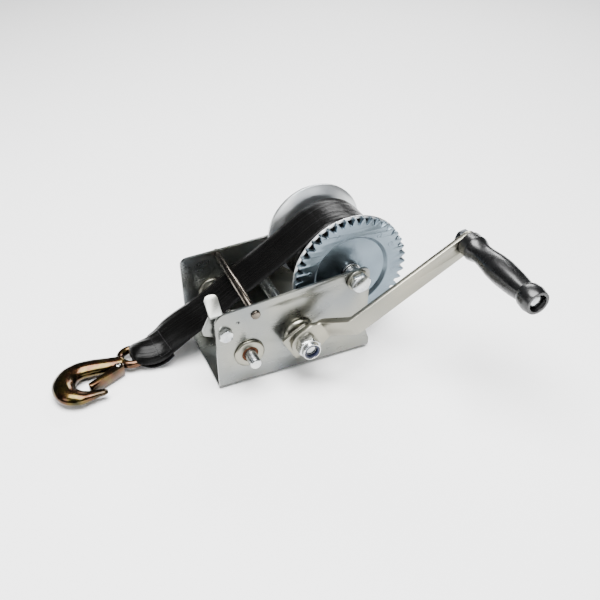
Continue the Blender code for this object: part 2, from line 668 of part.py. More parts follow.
# ---- strap tail and hook ----
def strap_route():
    """Middle line of the strap from the roll to the hook's ring: (x, y, z, roll about X, width)."""
    start = tangent_point()
    under_rod = (ROD_AT[0], ROD_AT[1] - ROD_RADIUS - STRAP_THICK)
    middle = ((start[0] + under_rod[0]) / 2, (start[1] + under_rod[1]) / 2)
    return [(start[0], 0.000, start[1], 0, STRAP_WIDTH), (middle[0], 0.001, middle[1], 0, STRAP_WIDTH),
            (under_rod[0], 0.005, under_rod[1], 0, STRAP_WIDTH), (-0.066, 0.011, 0.0570, 0, STRAP_WIDTH),
            (-0.086, 0.0160, 0.0380, 2, STRAP_WIDTH), (-0.102, 0.0180, 0.0265, 8, STRAP_WIDTH),
            (-0.118, 0.0190, 0.0190, 10, 0.048), (-0.130, 0.0200, 0.0135, 6, 0.044),
            (-0.1384, 0.0185, 0.0100, 0, 0.034)]


def tangent_point():
    """Where the strap leaves the roll on its way under the spacer rod."""
    rod = Vector((ROD_AT[0], ROD_AT[1] - ROD_RADIUS - STRAP_THICK))
    centre = Vector(DRUM_AT)
    reach = ROLL_RADIUS + STRAP_THICK / 2 + GAP
    line = centre - rod
    angle = math.atan2(line.y, line.x) + math.asin(reach / line.length)
    length = math.sqrt(line.length ** 2 - reach ** 2)
    return (rod.x + length * math.cos(angle), rod.y + length * math.sin(angle))


def smooth(values, position):
    """Catmull-Rom value at a position along a list."""
    i = min(int(position), len(values) - 2)
    t = position - i
    before = values[max(i - 1, 0)]
    after = values[min(i + 2, len(values) - 1)]
    a, b = values[i], values[i + 1]
    return 0.5 * (2 * a + (b - before) * t + (2 * before - 5 * a + 4 * b - after) * t ** 2
                  + (3 * a - before - 3 * b + after) * t ** 3)


def build_strap_tail(frame_axis):
    route = strap_route()
    length_steps = 26
    width_steps = 3
    work = bmesh.new()
    bmesh.ops.create_grid(work, x_segments=length_steps, y_segments=width_steps, size=0.5)
    for vert in work.verts:
        position = (vert.co.x + 0.5) * (len(route) - 1)
        x, y, z, lean, width = [smooth([station[i] for station in route], position) for i in range(5)]
        across = vert.co.y * width
        vert.co = (x, y + across * math.cos(math.radians(lean)), z + across * math.sin(math.radians(lean)))
    mesh = bpy.data.meshes.new("strap_tail")
    work.to_mesh(mesh)
    work.free()
    tail = place(bpy.data.objects.new("strap_tail", mesh), frame_axis, WEBBING)
    shell = tail.modifiers.new("webbing", "SOLIDIFY")
    shell.thickness = STRAP_THICK
    shell.offset = 0
    shell.use_even_offset = True


def hook_line():
    """Middle line of the forged hook in its own plane, (x, y, half width), from the ring to the tip."""
    return [(-0.1670, 0.0152, 0.0072), (-0.1750, 0.0140, 0.0084), (-0.1880, 0.0146, 0.0100),
            (-0.2010, 0.0162, 0.0108),
            (-0.2130, 0.0160, 0.0110), (-0.2242, 0.0102, 0.0117), (-0.2310, -0.0018, 0.0122),
            (-0.2292, -0.0156, 0.0114),
            (-0.2200, -0.0232, 0.0097), (-0.2097, -0.0247, 0.0066), (-0.2003, -0.0247, 0.0048),
            (-0.1908, -0.0253, 0.0038)]


def build_hook(hook_axis):
    """Forged snap hook that lies on its side: bent bar, ring and latch lug."""
    stations = hook_line()
    steps = 22
    curve = bpy.data.curves.new("hook_bar", "CURVE")
    curve.dimensions = "3D"
    curve.bevel_depth = 1.0
    curve.bevel_resolution = 2
    curve.use_fill_caps = True
    spline = curve.splines.new("POLY")
    spline.points.add(steps)
    for step, point in enumerate(spline.points):
        position = step * (len(stations) - 1) / steps
        x, y, half_width = [smooth([station[i] for station in stations], position) for i in range(3)]
        point.co = (x - hook_axis.location.x, y - hook_axis.location.y, 0.0, 1.0)
        point.radius = half_width
    bar = bpy.data.objects.new("hook_bar", curve)
    bpy.context.scene.collection.objects.link(bar)
    hook = place(bpy.data.objects.new("hook", solid_mesh(bar)), hook_axis, CHROMATE)
    bpy.data.objects.remove(bar, do_unlink=True)
    for vert in hook.data.vertices:
        vert.co.z *= HOOK_FLATTEN
    ring_at = (HOOK_RING_AT[0] - hook_axis.location.x, HOOK_RING_AT[1] - hook_axis.location.y, 0)
    bpy.ops.mesh.primitive_torus_add(major_radius=HOOK_RING_RADIUS, minor_radius=HOOK_RING_BAR,
                                     major_segments=24,
                                     minor_segments=9, location=ring_at)
    ring = bpy.context.active_object
    ring.name = "hook_ring"
    for holder in list(ring.users_collection):
        holder.objects.unlink(ring)
    place(ring, hook_axis)
    cut(hook, ring, "UNION")
    pin = (LATCH_PIN_AT[0] - hook_axis.location.x, LATCH_PIN_AT[1] - hook_axis.location.y, 0)
    lug = plate("latch_lug", [rounded([(-0.0042, -0.0028, 0.0028), (0.0042, -0.0028, 0.0028),
                                       (0.0060, 0.0120, 0),
                                       (-0.0060, 0.0120, 0)], 4)], (-0.0032, 0.0032), hook_axis)
    upright(lug, pin)
    cut(hook, lug, "UNION")
    pin_hole = plate("latch_pin_hole", [circle(0.0018, 12)], (-0.006, 0.006), hook_axis)
    upright(pin_hole, pin)
    cut(hook, pin_hole)


def upright(obj, at=(0, 0, 0)):
    """Stand a turned piece or plate along Z instead of Y."""
    obj.rotation_euler = (0, 0, 0)
    obj.location = at
    return obj


def build_latch(latch_axis):
    """Sheet latch, a channel folded round the hook's lug: its web faces out and closes the hook's mouth."""
    outline = rounded([(0.0058, -0.0026, 0.002), (-0.0325, -0.0202, 0.002), (-0.0345, -0.0149, 0.002),
                       (-0.0262, -0.0107, 0.006), (-0.0100, -0.0019, 0.006), (-0.0022, 0.0042, 0.003),
                       (0.0052, 0.0040, 0.003)], 3)
    latch = plate("hook_latch", [outline], (-LATCH_HALF, LATCH_HALF), latch_axis, CHROMATE)
    upright(latch)
    inside = [(0.0100, 0.0006), (-0.0310, -0.0184), (-0.0400, 0.0086), (0.0100, 0.0086)]
    pocket = plate("latch_pocket", [inside], (-LATCH_HALF + LATCH_WALL, LATCH_HALF - LATCH_WALL), latch_axis)
    upright(pocket)
    cut(latch, pocket)
    pin_hole = plate("latch_hole", [circle(0.0018, 12)], (-0.008, 0.008), latch_axis)
    upright(pin_hole)
    cut(latch, pin_hole)


def build_latch_pin(pin_axis):
    """Rivet through the latch and the hook's lug."""
    top = LATCH_HALF + 0.0013
    under = LATCH_HALF + GAP
    profile = [(0, -top), (0.0024, -top), (0.0027, -under), (0.0015, -under), (0.0015, under),
               (0.0027, under),
               (0.0024, top), (0, top)]
    upright(turned("latch_pin", profile, pin_axis, STEEL, 12))


def build_all():
    clear_scene()
    frame_axis = add_axis("frame_origin", (0, 0))
    build_frame(frame_axis)
    build_spacer_rod(add_axis("rod_line", ROD_AT))
    build_drum(add_axis("drum_line", DRUM_AT))
    build_drum_axle(add_axis("drum_axle_line", DRUM_AT))
    pinion_angle = meshing_angle(DRUM_TOOTH_ANGLE, DRUM_AT, DRUM_TEETH, CRANK_AT, PINION_TEETH)
    counter_angle = math.radians(3)
    low_angle = meshing_angle(counter_angle, CRANK_AT, COUNTER_TEETH, SECOND_AT, LOW_PINION_TEETH)
    crank_axis = add_axis("crank_line", CRANK_AT)
    build_crank_shaft(crank_axis, pinion_angle, counter_angle)
    build_arm(crank_axis)
    build_crank_hub(crank_axis)
    build_bearing("crank", add_axis("crank_bearing_line", CRANK_AT), 0.0125, 0.0170, 0.0050,
                  JOURNAL_RADIUS + RUN)
    build_grip(add_axis("grip_line", GRIP_AT))
    build_grip_bolt(add_axis("grip_bolt_line", GRIP_AT))
    build_second_shaft(add_axis("second_line", SECOND_AT), low_angle)
    build_bearing("second", add_axis("second_bearing_line", SECOND_AT), 0.0115, 0.0160, 0.0027,
                  JOURNAL_RADIUS + RUN)
    build_pawl(add_axis("pawl_line", PAWL_AT))
    pawl_bolt_axis = add_axis("pawl_bolt_line", PAWL_AT)
    build_pawl_bolt(pawl_bolt_axis)
    build_pawl_spring(pawl_bolt_axis)
    build_strap_tail(frame_axis)
    hook_axis = add_axis("hook_swing_line", (HOOK_RING_AT[0] + HOOK_RING_RADIUS, HOOK_CENTRE_Z),
                         HOOK_RING_AT[1])
    build_hook(hook_axis)
    latch_axis = add_axis("latch_line", (LATCH_PIN_AT[0], HOOK_CENTRE_Z), LATCH_PIN_AT[1])
    build_latch(latch_axis)
    build_latch_pin(add_axis("latch_pin_line", (LATCH_PIN_AT[0], HOOK_CENTRE_Z), LATCH_PIN_AT[1]))


build_all()
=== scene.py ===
"""Boat trailer winch: zinc-plated frame and gears, black webbing, chromated snap hook, black grip.

Metres, in the frame of the CAD model. Most CAD nodes stay and get rounded edges and a finish.
The wound strap, its tail and the forged hook are modelled here.
"""
import math

import bmesh
import bpy
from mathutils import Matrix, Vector


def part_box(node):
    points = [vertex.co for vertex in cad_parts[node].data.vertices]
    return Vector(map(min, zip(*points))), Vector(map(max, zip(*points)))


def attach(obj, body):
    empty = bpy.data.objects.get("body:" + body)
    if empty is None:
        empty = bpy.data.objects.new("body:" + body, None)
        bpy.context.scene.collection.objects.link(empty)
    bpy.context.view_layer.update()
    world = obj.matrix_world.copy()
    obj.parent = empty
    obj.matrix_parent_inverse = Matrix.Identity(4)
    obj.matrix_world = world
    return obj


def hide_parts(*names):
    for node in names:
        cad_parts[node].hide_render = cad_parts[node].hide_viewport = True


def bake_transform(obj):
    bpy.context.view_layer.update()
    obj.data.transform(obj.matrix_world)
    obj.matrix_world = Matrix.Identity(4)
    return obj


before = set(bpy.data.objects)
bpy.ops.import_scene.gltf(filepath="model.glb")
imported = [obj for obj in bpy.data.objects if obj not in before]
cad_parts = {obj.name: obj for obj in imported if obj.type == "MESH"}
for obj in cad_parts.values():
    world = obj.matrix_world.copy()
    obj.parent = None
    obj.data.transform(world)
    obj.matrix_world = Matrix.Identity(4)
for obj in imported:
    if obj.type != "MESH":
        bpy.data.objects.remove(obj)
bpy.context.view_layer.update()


def centre(node):
    """Middle of a CAD node's box."""
    low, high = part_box(node)
    return (low + high) / 2


# ---- colours and shader nodes ----
PER_MM = 1000.0          # a texture scale of PER_MM / 16 gives features about 16 mm across
MM = 0.001               # one millimetre, for bump heights


def srgb(code):
    """Linear colour of an sRGB hex code."""
    channels = [int(code[i:i + 2], 16) / 255 for i in (0, 2, 4)]
    linear = [c / 12.92 if c <= 0.04045 else ((c + 0.055) / 1.055) ** 2.4 for c in channels]
    return (*linear, 1.0)


def add(tree, kind, inputs, out=0, stops=(), **settings):
    """Adds a shader node and returns one of its outputs.

    inputs maps a socket to a value or to another node's output, and settings are the node's properties.
    stops are a colour ramp's (position, hex) pairs.
    """
    made = tree.nodes.new("ShaderNode" + kind)
    for key, value in settings.items():
        setattr(made, key, value)
    for socket, value in inputs.items():
        if isinstance(value, bpy.types.NodeSocket):
            tree.links.new(value, made.inputs[socket])
        else:
            made.inputs[socket].default_value = value
    if stops:
        elements = made.color_ramp.elements
        while len(elements) < len(stops):
            elements.new(0.5)
        for element, (position, code) in zip(elements, stops):
            element.position = position
            element.color = srgb(code)
    return made.outputs[out]


def new_material(name, **sockets):
    """A material with these shader sockets, e.g. Coat_Weight=0.3, its tree and the object's coordinates."""
    material = bpy.data.materials.new(name)
    material.use_nodes = True
    tree = material.node_tree
    for key, value in sockets.items():
        tree.nodes["Principled BSDF"].inputs[key.replace("_", " ")].default_value = value
    return material, tree, add(tree, "TexCoord", {}, "Object")


def surface(material, colour, roughness, normal):
    """Links a material's colour, roughness and normal to its shader."""
    tree = material.node_tree
    shader = tree.nodes["Principled BSDF"]
    tree.links.new(colour, shader.inputs["Base Color"])
    tree.links.new(roughness, shader.inputs["Roughness"])
    tree.links.new(normal, shader.inputs["Normal"])
    return material


# ---- finishes ----
def zinc_sheet(name, stops, rough, grain=(1, 1, 1), cloud_mm=45, wave_mm=0.3):
    """Electroplated zinc on sheet: soft clouds in the passivation, rolling marks, a gentle wave.

    Real rolling marks are about 0.1 mm apart; they are drawn 2.2 mm apart so that they show.
    """
    material, tree, place = new_material(name, Metallic=1.0)
    clouds = add(tree, "TexNoise", {"Vector": place, "Scale": PER_MM / cloud_mm, "Detail": 1.5,
                                    "Roughness": 0.45})
    colour = add(tree, "ValToRGB", {"Fac": clouds}, stops=stops)
    rolled = add(tree, "Mapping", {"Vector": place, "Scale": grain})
    marks = add(tree, "TexNoise", {"Vector": rolled, "Scale": PER_MM / 2.2, "Detail": 2.0})
    blotches = add(tree, "TexNoise", {"Vector": place, "Scale": PER_MM / 16, "Detail": 2.0})
    both = add(tree, "Math", {0: marks, 1: blotches}, operation="ADD")
    roughness = add(tree, "MapRange", {"Value": both, "From Min": 0.4, "From Max": 1.6,
                                       "To Min": rough[0], "To Max": rough[1]})
    fine = add(tree, "Bump", {"Height": marks, "Distance": 0.002 * MM, "Strength": 0.2})
    wave = add(tree, "TexNoise", {"Vector": place, "Scale": PER_MM / 70, "Detail": 0.0})
    normal = add(tree, "Bump", {"Height": wave, "Distance": wave_mm * MM, "Strength": 0.3, "Normal": fine})
    return surface(material, colour, roughness, normal)


def flange_with_painted_shade(name, stops, rough):
    """The flanges' zinc with painted shade: near black on the face against the gear, for the shade in the
    gaps between its teeth, left off along the rim.
    """
    # width of the plain rim outside the painted shade, and of the fade between them
    unshaded_rim = 0.0034
    shade_fade = 0.0012
    material = zinc_sheet(name, stops, rough, cloud_mm=30)
    tree = material.node_tree
    shader = tree.nodes["Principled BSDF"]
    plated = shader.inputs["Base Color"].links[0].from_socket
    place = add(tree, "TexCoord", {}, "Object")
    normal = add(tree, "NewGeometry", {}, "Normal")
    sideways = add(tree, "SeparateXYZ", {"Vector": normal}, "Y")
    patches = add(tree, "TexNoise", {"Vector": place, "Scale": PER_MM / 8, "Detail": 3.0})
    uneven_facing = add(tree, "Math", {0: patches, 1: 0.2, 2: sideways}, operation="MULTIPLY_ADD")
    toward_gear = add(tree, "MapRange", {"Value": uneven_facing, "From Min": -0.85, "From Max": -0.60,
                                         "To Min": 1.0, "To Max": 0.0})
    low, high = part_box("near_flange")
    hub = (low + high) / 2
    shade_ends_at = (high.x - low.x) / 2 - unshaded_rim
    flat = add(tree, "Mapping", {"Vector": place, "Scale": (1, 0, 1)})
    radius = add(tree, "VectorMath", {0: flat, 1: (hub.x, 0, hub.z)}, "Value", operation="DISTANCE")
    inside = add(tree, "MapRange", {"Value": radius, "From Min": shade_ends_at,
                                    "From Max": shade_ends_at + shade_fade, "To Min": 1.0, "To Max": 0.0})
    # film is the mask of the painted shade: faces towards the gear, inside the plain rim
    film = add(tree, "Math", {0: toward_gear, 1: inside}, operation="MULTIPLY")
    # painted shade: near black 0c0b0a mixed into the zinc, standing in for the shade between the gear's teeth
    # 6, 7 and 2 are the sockets of the Mix node for colours
    shaded_colour = add(tree, "Mix", {"Factor": film, 6: plated, 7: srgb("0c0b0a")}, 2, data_type="RGBA")
    tree.links.new(shaded_colour, shader.inputs["Base Color"])
    return material


def bright_fastener(name, stops, rough=(0.18, 0.28)):
    """Bright zinc on a cold-headed or turned part: fine lathe rings about Y, and handling marks."""
    material, tree, place = new_material(name, Metallic=1.0)
    tone = add(tree, "TexNoise", {"Vector": place, "Scale": PER_MM / 7, "Detail": 3.0})
    colour = add(tree, "ValToRGB", {"Fac": tone}, stops=stops)
    marks = add(tree, "TexNoise", {"Vector": place, "Scale": PER_MM / 3, "Detail": 2.0})
    roughness = add(tree, "MapRange", {"Value": marks, "From Min": 0.3, "From Max": 0.7,
                                       "To Min": rough[0], "To Max": rough[1]})
    around = add(tree, "Mapping", {"Vector": place, "Scale": (0.05, 1, 0.05)})
    rings = add(tree, "TexNoise", {"Vector": around, "Scale": PER_MM / 0.6, "Detail": 1.0})
    turned = add(tree, "Bump", {"Height": rings, "Distance": 0.001 * MM, "Strength": 0.2})
    normal = add(tree, "Bump", {"Height": marks, "Distance": 0.002 * MM, "Strength": 0.2, "Normal": turned})
    return surface(material, colour, roughness, normal)


def sintered_bronze(name):
    """Oil-filled sintered bronze: brown, with a fine open grain that is darker where oil stands."""
    material, tree, place = new_material(name, Metallic=1.0)
    oil = add(tree, "TexNoise", {"Vector": place, "Scale": PER_MM / 5, "Detail": 4.0})
    colour = add(tree, "ValToRGB", {"Fac": oil}, stops=((0.3, "2e1b11"), (0.7, "523322")))
    grain = add(tree, "TexNoise", {"Vector": place, "Scale": PER_MM / 0.5, "Detail": 4.0, "Roughness": 0.7})
    roughness = add(tree, "MapRange", {"Value": grain, "To Min": 0.32, "To Max": 0.55})
    normal = add(tree, "Bump", {"Height": grain, "Distance": 0.02 * MM, "Strength": 0.4})
    return surface(material, colour, roughness, normal)


def chromated_forging(name):
    """Yellow chromate over zinc on a drop forging: gold to brown film colours, a faintly hammered surface."""
    material, tree, place = new_material(name, Metallic=1.0, Coat_Weight=0.25, Coat_Roughness=0.12)
    film = add(tree, "TexNoise", {"Vector": place, "Scale": PER_MM / 26, "Detail": 3.0, "Roughness": 0.55})
    colour = add(tree, "ValToRGB", {"Fac": film}, stops=((0.30, "19130b"), (0.42, "2f2413"), (0.50, "452c1c"),
                                                         (0.58, "4d401d"), (0.70, "2b2815")))
    hammered = add(tree, "TexNoise", {"Vector": place, "Scale": PER_MM / 9, "Detail": 2.0})
    grit = add(tree, "TexNoise", {"Vector": place, "Scale": PER_MM / 0.9, "Detail": 4.0, "Roughness": 0.6})
    roughness = add(tree, "MapRange", {"Value": grit, "From Min": 0.3, "From Max": 0.7,
                                       "To Min": 0.14, "To Max": 0.30})
    forged = add(tree, "Bump", {"Height": hammered, "Distance": 0.35 * MM, "Strength": 0.4})
    normal = add(tree, "Bump", {"Height": grit, "Distance": 0.01 * MM, "Strength": 0.3, "Normal": forged})
    return surface(material, colour, roughness, normal)


def moulded_plastic(name, codes, rough, coat=0.0):
    """Injection-moulded plastic: a fine spark-eroded texture with slightly polished patches.

    Real spark erosion is about 0.05 mm across; it is drawn at 0.45 mm so that it shows.
    """
    material, tree, place = new_material(name, Coat_Weight=coat, Coat_Roughness=0.2, IOR=1.46)
    wear = add(tree, "TexNoise", {"Vector": place, "Scale": PER_MM / 14, "Detail": 3.0})
    colour = add(tree, "ValToRGB", {"Fac": wear}, stops=((0.3, codes[0]), (0.7, codes[1])))
    roughness = add(tree, "MapRange", {"Value": wear, "From Min": 0.3, "From Max": 0.7,
                                       "To Min": rough[0], "To Max": rough[1]})
    eroded = add(tree, "TexNoise", {"Vector": place, "Scale": PER_MM / 0.45, "Detail": 2.0})
    normal = add(tree, "Bump", {"Height": eroded, "Distance": 0.02 * MM, "Strength": 0.35})
    return surface(material, colour, roughness, normal)


def woven_webbing(name):
    """Black polyester webbing in plain weave: near black, with soft light along its yarns and long folds.

    The strap's own UV map, in metres, runs along the warp in X and across it in Y.
    """
    warp_cord = 0.0013
    weft_cord = 0.0010
    material, tree, place = new_material(name, Sheen_Weight=0.01, Sheen_Roughness=0.5,
                                         Sheen_Tint=srgb("c8b8a8"), IOR=1.5, Specular_IOR_Level=0.12)
    soil = add(tree, "TexNoise", {"Vector": place, "Scale": PER_MM / 24, "Detail": 3.0})
    colour = add(tree, "ValToRGB", {"Fac": soil}, stops=((0.3, "020202"), (0.7, "050505")))
    strap = add(tree, "UVMap", {}, "UV", uv_map="metres")
    cords = []
    for direction, spacing in (("X", weft_cord), ("Y", warp_cord)):
        distance = add(tree, "SeparateXYZ", {"Vector": strap}, direction)
        turns = add(tree, "Math", {0: distance, 1: math.pi / spacing}, operation="MULTIPLY")
        wave = add(tree, "Math", {0: turns}, operation="SINE")
        cords.append(add(tree, "Math", {0: wave}, operation="ABSOLUTE"))
    over = add(tree, "TexChecker", {"Vector": strap, "Scale": 2 / (warp_cord + weft_cord)}, "Fac")
    weave = add(tree, "Mix", {"Factor": over, "A": cords[0], "B": cords[1]}, "Result")
    roughness = add(tree, "MapRange", {"Value": weave, "To Min": 0.36, "To Max": 0.25})
    drawn_out = add(tree, "Mapping", {"Vector": strap, "Scale": (0.035, 1, 1)})
    folds = add(tree, "TexNoise", {"Vector": drawn_out, "Scale": PER_MM / 9, "Detail": 2.0})
    yarns = add(tree, "TexNoise", {"Vector": drawn_out, "Scale": PER_MM / 2.2, "Detail": 1.0})
    fuzz = add(tree, "TexNoise", {"Vector": place, "Scale": PER_MM / 0.5, "Detail": 3.0})
    normal = add(tree, "Bump", {"Height": folds, "Distance": 2.0 * MM, "Strength": 0.8})
    for height, depth_mm, strength in ((yarns, 0.35, 0.6), (weave, 0.10, 0.4), (fuzz, 0.03, 0.3)):
        normal = add(tree, "Bump", {"Height": height, "Distance": depth_mm * MM, "Strength": strength,
                                    "Normal": normal})
    return surface(material, colour, roughness, normal)


# Zinc is a grey metal; the passivation turns it warm on the frame and the arm, and blue on the gears.
ZINC = zinc_sheet("zinc_plate_on_rolled_sheet", ((0.30, "6c7072"), (0.70, "84847c")), (0.25, 0.32),
                  grain=(0.06, 1, 1), wave_mm=0.6)
ZINC_ARM = zinc_sheet("zinc_plate_on_flat_bar", ((0.30, "77776f"), (0.70, "8b887b")), (0.26, 0.33),
                      grain=(0.3, 1, 0.3), cloud_mm=60)
ZINC_GEAR = zinc_sheet("zinc_plate_on_punched_gears", ((0.30, "616d76"), (0.70, "75828b")), (0.28, 0.35),
                       cloud_mm=35)
ZINC_FLANGE = zinc_sheet("zinc_plate_on_spun_flanges", ((0.30, "b4b9bd"), (0.70, "d0d2d2")), (0.32, 0.40),
                         cloud_mm=30)
# The near flange's face towards the gear is painted near black: painted shade for the gaps between the gear's
# teeth.
NEAR_FLANGE_PAINTED_SHADE = flange_with_painted_shade("zinc_with_painted_shade_on_near_flange", ((0.30, "b4b9bd"), (0.70, "d0d2d2")), (0.30, 0.38))
# Fasteners are brighter. The rod's dark brown is a painted reflection of the black strap beside it, and dirt
# darkens the grip's nut.
BRIGHT = bright_fastener("bright_zinc_on_fasteners", ((0.30, "9fa3a7"), (0.70, "cccdca")))
ROD = bright_fastener("zinc_on_rod_with_painted_reflection", ((0.30, "4c4640"), (0.70, "6e675d")))
NUT_DARK = bright_fastener("darkened_zinc_on_grip_nut", ((0.30, "34363a"), (0.70, "5a5d60")), (0.25, 0.45))
BRONZE = sintered_bronze("sintered_bronze")
CHROMATE = chromated_forging("yellow_chromate_on_forging")
GRIP_PLASTIC = moulded_plastic("moulded_black_plastic", ("060606", "0b0b0c"), (0.22, 0.36), 0.2)
NYLON = moulded_plastic("blue_nylon", ("050b22", "0a1434"), (0.35, 0.5))
WEBBING = woven_webbing("black_polyester_webbing")
THREAD = moulded_plastic("bonded_polyester_thread", ("050506", "0a0a0b"), (0.45, 0.6))


# ---- CAD nodes that stay ----
def finish_node(name, material, edge_mm, segments=2):
    """Welds a CAD node for shading, rounds its edges and gives it its finish."""
    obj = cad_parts[name]
    obj.data.materials.clear()
    obj.data.materials.append(material)
    for polygon in obj.data.polygons:
        polygon.use_smooth = True
    weld = obj.modifiers.new("weld", "WELD")
    weld.merge_threshold = 0.000005
    if edge_mm:
        edges = obj.modifiers.new("worn_edges", "BEVEL")
        edges.width = edge_mm * MM
        edges.segments = segments
        edges.limit_method = "ANGLE"
        edges.angle_limit = math.radians(32)
        edges.harden_normals = True


finish_node("frame_channel", ZINC, 0.7, 3)
finish_node("pawl_lever", ZINC, 0.4, 3)
finish_node("crank_arm", ZINC_ARM, 0.5)
finish_node("near_flange", NEAR_FLANGE_PAINTED_SHADE, 0.3)
finish_node("spacer_rod", ROD, 0.25)
finish_node("pawl_spring", BRIGHT, 0)
finish_node("grip_nut", NUT_DARK, 0.25)
finish_node("nut_insert", NYLON, 0.2)
finish_node("grip", GRIP_PLASTIC, 0.4, 3)
finish_node("hook_latch", CHROMATE, 0.3)
for node_name in ("crank_cup_near", "crank_cup_far", "second_cup_near", "second_cup_far", "crank_washer",
                  "arm_backing_plate", "inner_backing_plate", "drum_washer_near", "drum_washer_far"):
    finish_node(node_name, ZINC_ARM, 0.25)
for node_name in ("far_flange", "drum_barrel"):
    finish_node(node_name, ZINC_FLANGE, 0.3)
for node_name in ("drum_gear", "counter_gear", "crank_pinion", "low_pinion", "ratchet_wheel"):
    finish_node(node_name, ZINC_GEAR, 0.2)
for node_name in ("drum_bolt", "drum_bolt_nut", "crank_lock_nut", "crank_shaft", "second_shaft", "grip_bolt",
                  "pawl_bolt", "pawl_nut", "drum_axle_tube", "strap_anchor_bolt", "strap_anchor_nut",
                  "crank_clip", "second_clip", "latch_pin", "drum_bush_near", "drum_bush_far"):
    finish_node(node_name, BRIGHT, 0.25)
for node_name in ("crank_bush_near", "crank_bush_far", "second_bush_near", "second_bush_far"):
    finish_node(node_name, BRONZE, 0.2)


# ---- helpers for the pieces made here ----
def smooth(values, position):
    """Catmull-Rom value at a position along a list of numbers or vectors."""
    i = min(int(position), len(values) - 2)
    t = position - i
    before = values[max(i - 1, 0)]
    after = values[min(i + 2, len(values) - 1)]
    a, b = values[i], values[i + 1]
    return 0.5 * (2 * a + (b - before) * t + (2 * before - 5 * a + 4 * b - after) * t ** 2
                  + (3 * a - before - 3 * b + after) * t ** 3)


def along_stations(stations, step, steps):
    """Every column of a list of stations, smoothed, at one step along it."""
    position = step * (len(stations) - 1) / steps
    return [smooth([station[column] for station in stations], position) for column in range(len(stations[0]))]


def mesh_of(work, name):
    """Turns a bmesh into a mesh with its faces outward."""
    bmesh.ops.recalc_face_normals(work, faces=work.faces)
    mesh = bpy.data.meshes.new(name)
    work.to_mesh(mesh)
    work.free()
    return mesh


def new_piece(name, mesh, material):
    """An object in the scene with its material."""
    obj = bpy.data.objects.new(name, mesh)
    bpy.context.scene.collection.objects.link(obj)
    obj.data.materials.append(material)
    return obj


def ribbon(name, rows, thickness, material):
    """A closed band of webbing. Each row is (list of points across the middle layer, normal)."""
    edge_thinness = 0.35
    work = bmesh.new()
    uv = work.loops.layers.uv.new("metres")
    rings = []
    along = 0.0
    last = rows[0][0][len(rows[0][0]) // 2]
    for points, normal in rows:
        middle = points[len(points) // 2]
        along += (middle - last).length
        last = middle
        across = [0.0]
        for a, b in zip(points, points[1:]):
            across.append(across[-1] + (b - a).length)
        ring = []
        for side in (1, -1):
            order = list(zip(points, across))[::side]
            for i, (point, v) in enumerate(order):
                share = edge_thinness if i in (0, len(order) - 1) else 1.0
                ring.append((work.verts.new(point + normal * side * share * thickness / 2), along, v))
        rings.append(ring)
    count = len(rings[0])
    for first, second in zip(rings, rings[1:]):
        for i in range(count):
            j = (i + 1) % count
            corners = [first[i], first[j], second[j], second[i]]
            face = work.faces.new([corner[0] for corner in corners])
            face.smooth = True
            for loop, corner in zip(face.loops, corners):
                loop[uv].uv = corner[1:]
    work.faces.new([corner[0] for corner in reversed(rings[0])])
    work.faces.new([corner[0] for corner in rings[-1]])
    return new_piece(name, mesh_of(work, name), material)


# ---- strap: the roll on the drum ----
STRAP_WIDTH = 0.050
STRAP_THICK = 0.0018
WRAP_PITCH = STRAP_THICK + 0.0001
WRAP_STEPS = 76
CORE_RADIUS = 0.0235
axle = centre("drum_axle_tube")
AXLE = Vector((axle.x, axle.z))
roll_low, roll_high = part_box("strap_roll")
OUTER = (roll_high.x - roll_low.x) / 2 + 0.0013
ROD_RADIUS = 0.0040
rod = centre("spacer_rod")
UNDER_ROD = Vector((rod.x, rod.z - ROD_RADIUS - 0.0022))


def leaving_angle():
    """Angle, from +X towards +Z, at which the strap leaves the roll for the underside of the rod."""
    line = AXLE - UNDER_ROD
    return math.atan2(line.y, line.x) + math.asin(OUTER / line.length) + math.pi / 2


LEAVE = leaving_angle()


def roll_rows():
    """Wraps of the strap, from the outside in, each a little out of line with the next.

    The outer end dips under the tail, so that the two join without a step.
    """
    rows = []
    half = STRAP_WIDTH / 2 - 0.0002
    turns = int((OUTER - CORE_RADIUS) / WRAP_PITCH)
    for step in range(turns * WRAP_STEPS + 1):
        turn = step / WRAP_STEPS
        angle = LEAVE - turn * 2 * math.pi
        dip = 0.0009 * math.exp(-step / 2.5)
        slack = 0.00025 * math.sin(3 * angle + turn) * min(1.0, turn)
        shift = 0.0007 * math.sin(1.9 * turn + 0.6) * min(1.0, turn) + 0.0003 * math.sin(7.3 * turn)
        normal = Vector((math.cos(angle), 0, math.sin(angle)))
        middle = Vector((axle.x, shift, axle.z)) + normal * (OUTER - turn * WRAP_PITCH - dip + slack)
        rows.append(([middle + Vector((0, half * j / 4, 0)) for j in range(-4, 5)], normal))
    return rows


roll = ribbon("strap_wraps", roll_rows(), STRAP_THICK, WEBBING)
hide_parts("strap_roll")
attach(roll, "drum")


# ---- strap: the tail to the hook, folded round its ring ----
TAIL_STEPS = 150
TAIL_COLUMNS = 12
TAIL_WIDTH = 0.0496


